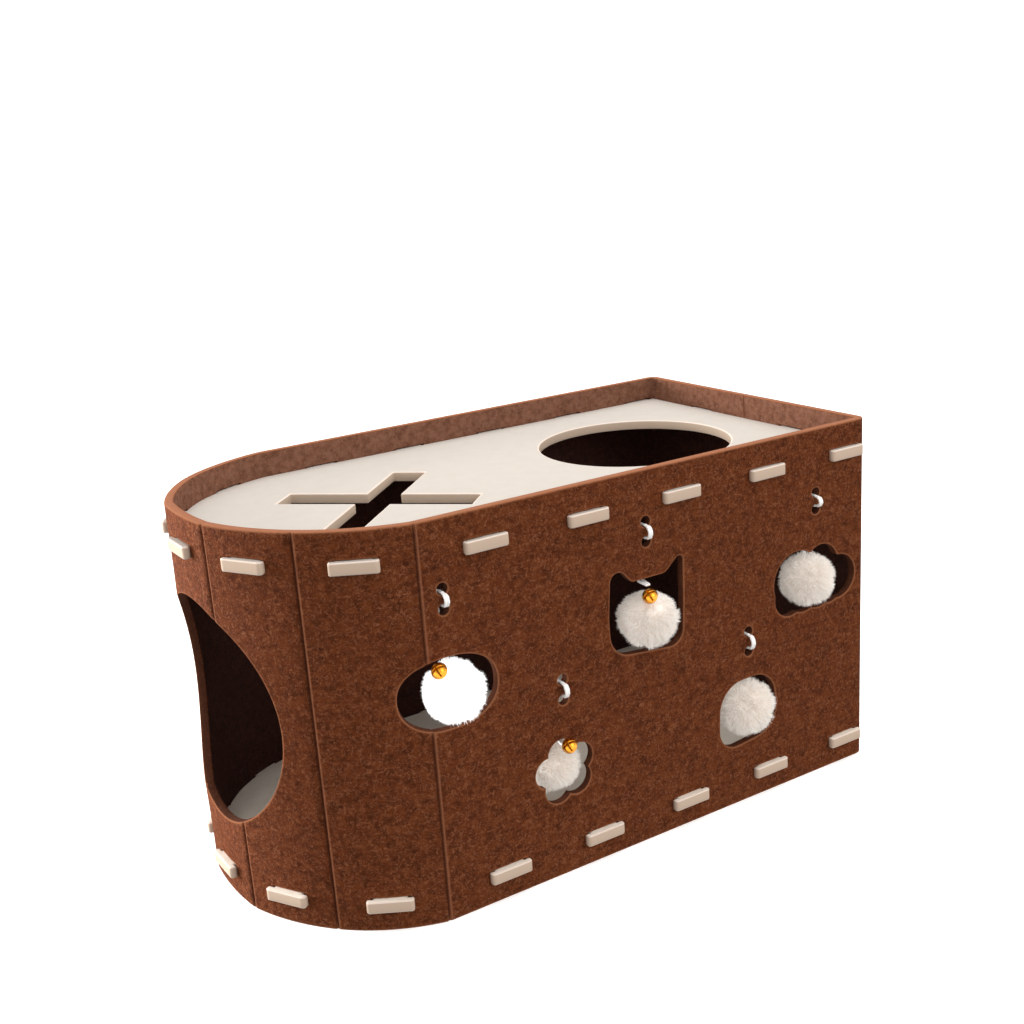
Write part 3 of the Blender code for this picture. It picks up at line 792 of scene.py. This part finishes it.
def pressedTone(s):
    # a pressed line has painted shade in its bottom and a painted highlight along the side that faces the
    # flat end
    (dark, pale), highlightOffset = wall["toneReach"], wall["highlightAt"]
    away = min((s - line for line in pressedAt), key=abs)
    return max(0.0, 1 - abs(away) / dark), max(0.0, 1 - abs(away + highlightOffset) / pale)


def makeWall():
    inset = sheetWork["rounding"]
    blank = [(0.0, 0.0), (stripLength, 0.0), (stripLength, cave["height"]), (0.0, cave["height"])]
    lines = []
    tall = cave["height"] - 2 * inset
    rows = round(tall / wall["spacing"])
    for station in stations[1:-1]:
        lines.append([(station[0], inset + tall * row / rows) for row in range(rows + 1)])
    piece = feltSheet("feltWall", blank, wallHoles(), lines, wall["spacing"], cave["felt"], onStrip,
                      makeFelt("brownNeedledFelt", wall["felt"]), pressed=pressedTone)
    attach(piece, "root")
    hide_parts("wall")
    return piece


wallPiece = makeWall()
print("wall bent round")


# Panels: cream felt, let through the slots of the wall by their tabs
panel = {
    "neck": 0.025, "head": 0.034, "proud": 0.005, "chamfer": 0.0015,
    "puff": 0.14,            # the squeezed tabs swell outside the slots by this share,
    "puffOver": 0.0014,      # full this far out
    "spacing": 0.0070,
    "headSpacing": 0.0016,
    "roundHole": (0.1267, 0.082),
    "cross": (0.371, 0.078, 0.0275),
    "felt": {
        "body": "#b6aea5", "shade": "#b4aba2", "light": "#b9b2a9", "dark": "#afa59b", "fibre": "#bdb6ae",
        # the rounded upper edge is painted paler, as painted highlight
        "marks": {"cutEdge": ("#c0a995", 1.0), "holeEdge": ("#bda894", 1.0), "bevelEdge": ("#dccabc", 0.9)},
        "cloudMm": 14.0, "speckleMm": 1.6, "fibreMm": 3.4, "fibreWidth": 0.08,
        "speckle": 0.2, "paleFibre": 0.2, "darkFibre": 0.15, "streak": 0.0, "sheen": 0.0, "shine": 0.10,
        "bump": 0.12,
    },
    # the floor panel's copy is painted lighter and warmer than the roof's, as painted light, since it is seen
    # only in shade
    "floorPaintedLightTones": {"body": "#e8dccd", "shade": "#dfd2c1", "light": "#f0e7db", "dark": "#ccbdab",
                   "fibre": "#f4ece2"},
}


def tabFrame(place):
    outer = locate(place)[0]
    along = (locate(place + panel["neck"] / 2)[0] - locate(place - panel["neck"] / 2)[0]).normalized()
    return outer, along, Vector((-along.y, along.x))


def tabPoints(place):
    outer, along, outward = tabFrame(place)
    gap, head, chamfer = cave["gap"], panel["head"] / 2, panel["chamfer"]
    face = gap + panel["proud"]
    shape = ((panel["neck"] / 2, gap), (head, gap), (head, face - chamfer), (head - chamfer, face))
    points = []
    for side, out in [(-side, out) for side, out in shape] + list(reversed(shape)):
        spot = outer + along * side + outward * out
        points.append((spot.x, spot.y))
    return points


def edgePoint(s):
    outer, outward, _ = locate(s)
    spot = outer - outward * (cave["felt"] + cave["gap"])
    return (spot.x, spot.y)


def panelOutline():
    half, places = panel["neck"] / 2, tabPlaces()
    marks = [(row[0], None) for row in stations[1:-1]]
    marks = [mark for mark in marks if all(abs(mark[0] - place) > half + 0.0005 for place in places)]
    marks += [(place, place) for place in places]
    outline = []
    for s, place in sorted(marks, key=lambda mark: mark[0]):
        if place is None:
            outline.append(edgePoint(s))
            continue
        outline.append(edgePoint(place - half))
        outline += tabPoints(place)
        outline.append(edgePoint(place + half))
    return outline


def crossOutline():
    fromEnd, reach, arm = panel["cross"]
    points = []
    for quarter in range(4):
        angle = math.radians(45 + 90 * quarter)
        for along, side in ((arm / 2, -arm / 2), (reach, -arm / 2), (reach, arm / 2)):
            points.append((cave["markX"] - fromEnd + along * math.cos(angle) - side * math.sin(angle),
                           along * math.sin(angle) + side * math.cos(angle)))
    return points


def headPoints(frames):
    points = []
    step, head, proud = panel["headSpacing"], panel["head"] / 2, panel["proud"]
    inset = sheetWork["rounding"] + sheetWork["support"]
    for outer, along, outward in frames:
        columns = int((2 * head - 2 * inset - step) / step)
        for i in range(columns + 1):
            side = (i - columns / 2) * step
            for out in (inset + 0.0008, proud / 2, proud - inset - 0.0006):
                spot = outer + along * side + outward * (cave["gap"] + out)
                points.append((spot.x, spot.y))
    return points


def makePanel(name, node, level, holes, material):
    frames = [tabFrame(place) for place in tabPlaces()]

    def onPanel(x, y, depth):
        # depth runs down from the upper face; outside the wall the tab swells
        z = level + cave["panel"] - depth
        for outer, along, outward in frames:
            spot = Vector((x, y)) - outer
            out, side = spot.dot(outward), spot.dot(along)
            if out > 0 and abs(side) < panel["head"] / 2 + 0.002:
                share = min(1.0, out / panel["puffOver"])
                middle = level + cave["panel"] / 2
                z = middle + (z - middle) * (1 + panel["puff"] * share * share * (3 - 2 * share))
                break
        return (x, y, z)

    piece = feltSheet(name, panelOutline(), holes, [], panel["spacing"], cave["panel"], onPanel, material,
                      headPoints(frames))
    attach(piece, "root")
    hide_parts(node)
    return piece


def makePanels():
    material = makeFelt("creamNeedledFelt", panel["felt"])
    # the floor panel gets the copy painted lighter, as painted light
    floorMaterial = makeFelt("creamNeedledFeltFloorPaintedLighter", {**panel["felt"], **panel["floorPaintedLightTones"]})
    fromEnd, radius = panel["roundHole"]
    roundHole = ring((cave["markX"] - fromEnd, 0.0), radius, 180)
    return (makePanel("feltFloor", "bottom_panel", cave["floorLevel"], [], floorMaterial),
            makePanel("feltRoof", "top_panel", cave["roofLevel"], [roundHole, crossOutline()], material))


floorPiece, roofPiece = makePanels()
print("panels let in")


# Pompoms: a tied bundle of soft fur-like yarn, trimmed to a ball
pompom = {
    "fibres": 14000,
    "tufts": 260,
    "core": 0.80,            # radius of the dense middle, as a share
    "coreTone": 0.35,        # its colour, as a place along a hair: painted shade in the dense middle
    "width": (0.00021, 0.00036),      # drawn coarser than the real 0.05 mm hairs, or they would not show
    "clump": (0.12, 0.30),   # how far the tips draw together into tufts
    "trim": (0.94, 1.02),
    "root": 0.68,            # where the hairs start inside the middle
    "tip": (0.90, 1.07),
    "stray": 0.14,           # how far single tips point away from their tuft
    "bow": 0.05,
    "sag": 0.0005,
    "clear": 0.0002,         # the hairs end this far off a bell
    "catTop": 0.80,          # the cat's is squeezed flat on top
    "pile": {"root": "#e7dcd1", "middle": "#faf2ea", "end": "#fffbf6"},
    # the oval's pile is painted brighter, as painted light
    "brightPile": {"root": "#f4f0ec", "middle": "#ffffff", "end": "#ffffff"},
}


def makePile(name, colours, glow):
    # Acrylic faux fur: fine soft hairs, painted lighter at their tips and darker to the roots as painted
    # light and shade in the pile;
    # light that scatters from hair to hair is painted in as a faint glow
    material, tree, shader = startMaterial(name, {
        "Roughness": 0.9, "Specular IOR Level": 0.2, "Sheen Weight": 0.3, "Sheen Roughness": 0.4,
        "Subsurface Weight": 0.25, "Subsurface Radius": (0.004, 0.004, 0.004), "Subsurface Scale": 1.0,
    })
    along = addNode(tree, "Attribute", {"attribute_name": "alongHair"})
    ramp = addNode(tree, "ValToRGB", links={0: along.outputs["Fac"]})
    ramp.color_ramp.elements[0].color = linear(colours["root"])
    ramp.color_ramp.elements[1].color = linear(colours["end"])
    ramp.color_ramp.elements.new(0.55).color = linear(colours["middle"])
    tree.links.new(ramp.outputs[0], shader.inputs["Base Color"])
    tree.links.new(ramp.outputs[0], shader.inputs["Emission Color"])
    shader.inputs["Emission Strength"].default_value = glow
    return material


def onSphere(tilt, turn):
    return Vector((math.sin(tilt) * math.cos(turn), math.sin(tilt) * math.sin(turn), math.cos(tilt)))


def onBall(shuffle):
    up = shuffle.uniform(-1, 1)
    turn = shuffle.uniform(0, math.tau)
    flat = math.sqrt(1 - up * up)
    return Vector((flat * math.cos(turn), flat * math.sin(turn), up))


def makePompom(name, toy, seed, material):
    shuffle = random.Random(seed)
    middle, radius = hangPlace(toy["pompom"]), toy["pompom"][3]
    bell, clear = toy["bell"] and hangPlace(toy["bell"]), jingle["radius"] + pompom["clear"]
    tufts = KDTree(pompom["tufts"])
    ways = [onBall(shuffle) for _ in range(pompom["tufts"])]
    reaches = [shuffle.uniform(*pompom["tip"]) for _ in ways]
    for i, way in enumerate(ways):
        tufts.insert(way, i)
    tufts.balance()
    points, faces, along = [], [], []

    # the dense middle, a ball of 24 by 36 patches made uneven
    rows, columns = 24, 36
    for row in range(rows + 1):
        for column in range(columns):
            way = onSphere(math.pi * row / rows, math.tau * column / columns)
            size = radius * pompom["core"] * (1.05 - 0.10 * min(1, tufts.find(way)[2] * 4))
            points.append(middle + way * size)
            along.append(pompom["coreTone"])
    for row in range(rows):
        for column in range(columns):
            a, b = row * columns + column, row * columns + (column + 1) % columns
            faces.append((a, a + columns, b + columns, b))

    for _ in range(pompom["fibres"]):
        way = onBall(shuffle)
        _, index, _ = tufts.find(way)
        tip = way.lerp(ways[index], shuffle.uniform(*pompom["clump"])).normalized()
        tip = (tip + onBall(shuffle) * pompom["stray"]).normalized()
        reach = radius * reaches[index] * shuffle.uniform(*pompom["trim"])
        root = middle + way * radius * pompom["root"]
        end = middle + tip * reach - Vector((0, 0, pompom["sag"]))
        if name == "cat" and end.z > middle.z:
            end.z = middle.z + (end.z - middle.z) * pompom["catTop"]
        if bell and (end - bell).length < clear:
            end = bell + (end - bell).normalized() * clear
            if (end - middle).length > radius * 1.05:
                continue
        bow = onBall(shuffle) * radius * pompom["bow"]
        side = tip.cross(onBall(shuffle)).normalized() * shuffle.uniform(*pompom["width"])
        first = len(points)
        for share, wide in ((0.0, 1.0), (0.5, 0.85), (0.8, 0.5)):
            spot = root.lerp(end, share) + bow * math.sin(math.pi * share)
            points += [spot - side * wide, spot + side * wide]
            along += [share, share]
        points.append(end)
        along.append(1.0)
        faces += [(first, first + 1, first + 3, first + 2), (first + 2, first + 3, first + 5, first + 4),
                  (first + 4, first + 5, first + 6)]
    piece = addMesh("furPompom_" + name, points, faces, material, {"alongHair": along})
    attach(piece, "root")
    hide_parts("pompom_" + name)
    return piece


# Jingle bells: pressed from sheet brass in two cups that meet at a rolled seam, a cross cut in one
jingle = {
    "radius": 0.0060, "sheet": 0.00035, "seam": 0.0004, "seamWidth": 0.07, "slot": 0.00075, "slotFrom": 112,
    "loop": 0.0012, "wire": 0.0003,
    "mouth": (-0.62, -0.50, 0.60),   # the slotted cup faces out and up, the eye lies in the pile
}


def makeBrass():
    # Polished and lacquered brass: warm yellow, mirror-like with small scuffs
    material, tree, shader = startMaterial("polishedBrass", {
        "Metallic": 1.0, "Roughness": 0.22, "Coat Weight": 0.3, "Coat Roughness": 0.1,
    })
    place = addNode(tree, "TexCoord").outputs["Object"]
    # handling marks, 0.4 mm apart
    scuffs = addNode(tree, "TexNoise", {"Scale": 2500.0, "Detail": 3.0}, {"Vector": place})
    tone = addNode(tree, "Mix", {
        "data_type": "RGBA", 6: linear("#cf7d12"), 7: linear("#f0a92e"),
    }, {0: scuffs.outputs["Fac"]})
    tree.links.new(tone.outputs[2], shader.inputs["Base Color"])
    rough = addNode(tree, "MapRange", {3: 0.16, 4: 0.34}, {0: scuffs.outputs["Fac"]})
    tree.links.new(rough.outputs[0], shader.inputs["Roughness"])
    return material


def makeBell(name, toy, material):
    middle = hangPlace(toy["bell"])
    rows, columns = 36, 48
    points, faces = [], []

    def shell(size):
        first = len(points)
        for row in range(rows + 1):
            tilt = math.pi * row / rows
            reach = size + jingle["seam"] * math.exp(-((tilt - math.pi / 2) / jingle["seamWidth"]) ** 2)
            for column in range(columns):
                points.append(middle + onSphere(tilt, math.tau * column / columns) * reach)
        return first

    outer = shell(jingle["radius"] - jingle["seam"])
    inner = shell(jingle["radius"] - jingle["seam"] - jingle["sheet"])

    def cut(row, column):
        # the cross that lets the sound out lies on the lower cup
        tilt = math.pi * (row + 0.5) / rows
        spot = onSphere(tilt, math.tau * (column + 0.5) / columns)
        wide = jingle["slot"] / jingle["radius"]
        return tilt > math.radians(jingle["slotFrom"]) and min(abs(spot.x), abs(spot.y)) < wide

    for row in range(rows):
        for column in range(columns):
            if cut(row, column):
                continue
            a, b = row * columns + column, row * columns + (column + 1) % columns
            faces.append((outer + a, outer + a + columns, outer + b + columns, outer + b))
            faces.append((inner + b, inner + b + columns, inner + a + columns, inner + a))
            for there, ends in (((row, column - 1), (a, a + columns)), ((row, column + 1), (b + columns, b)),
                                ((row - 1, column), (b, a)), ((row + 1, column), (a + columns, b + columns))):
                if 0 <= there[0] < rows and cut(there[0], there[1] % columns):
                    faces.append((outer + ends[1], outer + ends[0], inner + ends[0], inner + ends[1]))
    # the eye it is tied by
    eye = []
    for step in range(25):
        angle = math.tau * step / 24
        eye.append(middle + Vector((math.cos(angle) * jingle["loop"], 0,
                                    jingle["radius"] + math.sin(angle) * jingle["loop"])))
    addTube(points, faces, eye, jingle["wire"], 0.0, 8)
    turn = Vector((0, 0, -1)).rotation_difference(Vector(jingle["mouth"]))
    points = [middle + turn @ (point - middle) for point in points]
    piece = addMesh("jingleBell_" + name, points, faces, material)
    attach(piece, "root")
    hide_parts("bell_" + name)
    return piece


def makeToys():
    pile = makePile("softFauxFur", pompom["pile"], 0.06)
    # the oval's pompom gets the copy painted brighter, with a stronger glow, as painted light
    brightPile = makePile("softFauxFurPaintedBright", pompom["brightPile"], 0.30)
    brass = makeBrass()
    for seed, (name, toy) in enumerate(toys.items()):
        hanging = [makePompom(name, toy, 100 + seed, brightPile if name == "oval" else pile)]
        if toy["bell"]:
            hanging.append(makeBell(name, toy, brass))


makeToys()
print("toys hung")


# Studio: back-lit table, white surround, soft lights
studio = {
    "table": ("#f7f5f3", "#fbfaf8"),
    "tableHalf": 12.0,
    "tableGlow": 0.35,
    "aim": (0.0, 0.0, 0.12),
    "above": 1.10,           # light from the surround above the horizon, and from below it
    "below": 0.35,
    "lights": (
        # name, place, size, watts
        ("leftLight", (-1.40, 1.22, 0.28), 0.8, 88.0),
        ("frontLight", (0.70, -1.90, 0.90), 1.4, 14.0),
        ("topLight", (0.20, 0.30, 2.00), 1.6, 23.5),
    ),
}


def makeSurround():
    world = bpy.data.worlds.new("studioSurround")
    world.use_nodes = True
    tree = world.node_tree
    way = addNode(tree, "SeparateXYZ", links={0: addNode(tree, "TexCoord").outputs["Generated"]})
    light = addNode(tree, "MapRange", {1: -0.20, 2: -0.06, 3: studio["below"], 4: studio["above"]},
                    {0: way.outputs[2]})
    tree.links.new(light.outputs[0], tree.nodes["Background"].inputs["Strength"])
    tree.nodes["Background"].inputs["Color"].default_value = (1, 1, 1, 1)
    scene.world = world


def makeStudio():
    # Opal acrylic lit from below, so shadows stay faint and the table runs into the surround
    material, tree, shader = startMaterial("opalAcrylicTable", {
        "Roughness": 0.9, "Specular IOR Level": 0.1, "Emission Color": (1, 1, 1, 1),
        "Emission Strength": studio["tableGlow"],
    })
    place = addNode(tree, "TexCoord").outputs["Object"]
    grain = addNode(tree, "TexNoise", {"Scale": 40.0, "Detail": 2.0}, {"Vector": place})   # 25 mm
    dull, bright = (linear(colour) for colour in studio["table"])
    tone = addNode(tree, "Mix", {"data_type": "RGBA", 6: dull, 7: bright}, {0: grain.outputs["Fac"]})
    tree.links.new(tone.outputs[2], shader.inputs["Base Color"])
    low = min(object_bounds()[0][2], 0.0)
    half = studio["tableHalf"]
    corners = [(-half, -half, low), (half, -half, low), (half, half, low), (-half, half, low)]
    table = addMesh("studioTable", corners, [(0, 1, 2, 3)], material, smooth=False)
    table.visible_diffuse = False      # the surround below the horizon stands in for its bounced light
    makeSurround()
    for name, spot, size, watts in studio["lights"]:
        lamp = bpy.data.lights.new(name, "AREA")
        lamp.size = size
        lamp.energy = watts
        holder = bpy.data.objects.new(name, lamp)
        bpy.context.collection.objects.link(holder)
        aim = (Vector(studio["aim"]) - Vector(spot)).to_track_quat("-Z", "Y")
        holder.matrix_world = Matrix.Translation(spot) @ aim.to_matrix().to_4x4()
    scene.view_settings.view_transform = "Standard"


makeStudio()
print("studio lit")
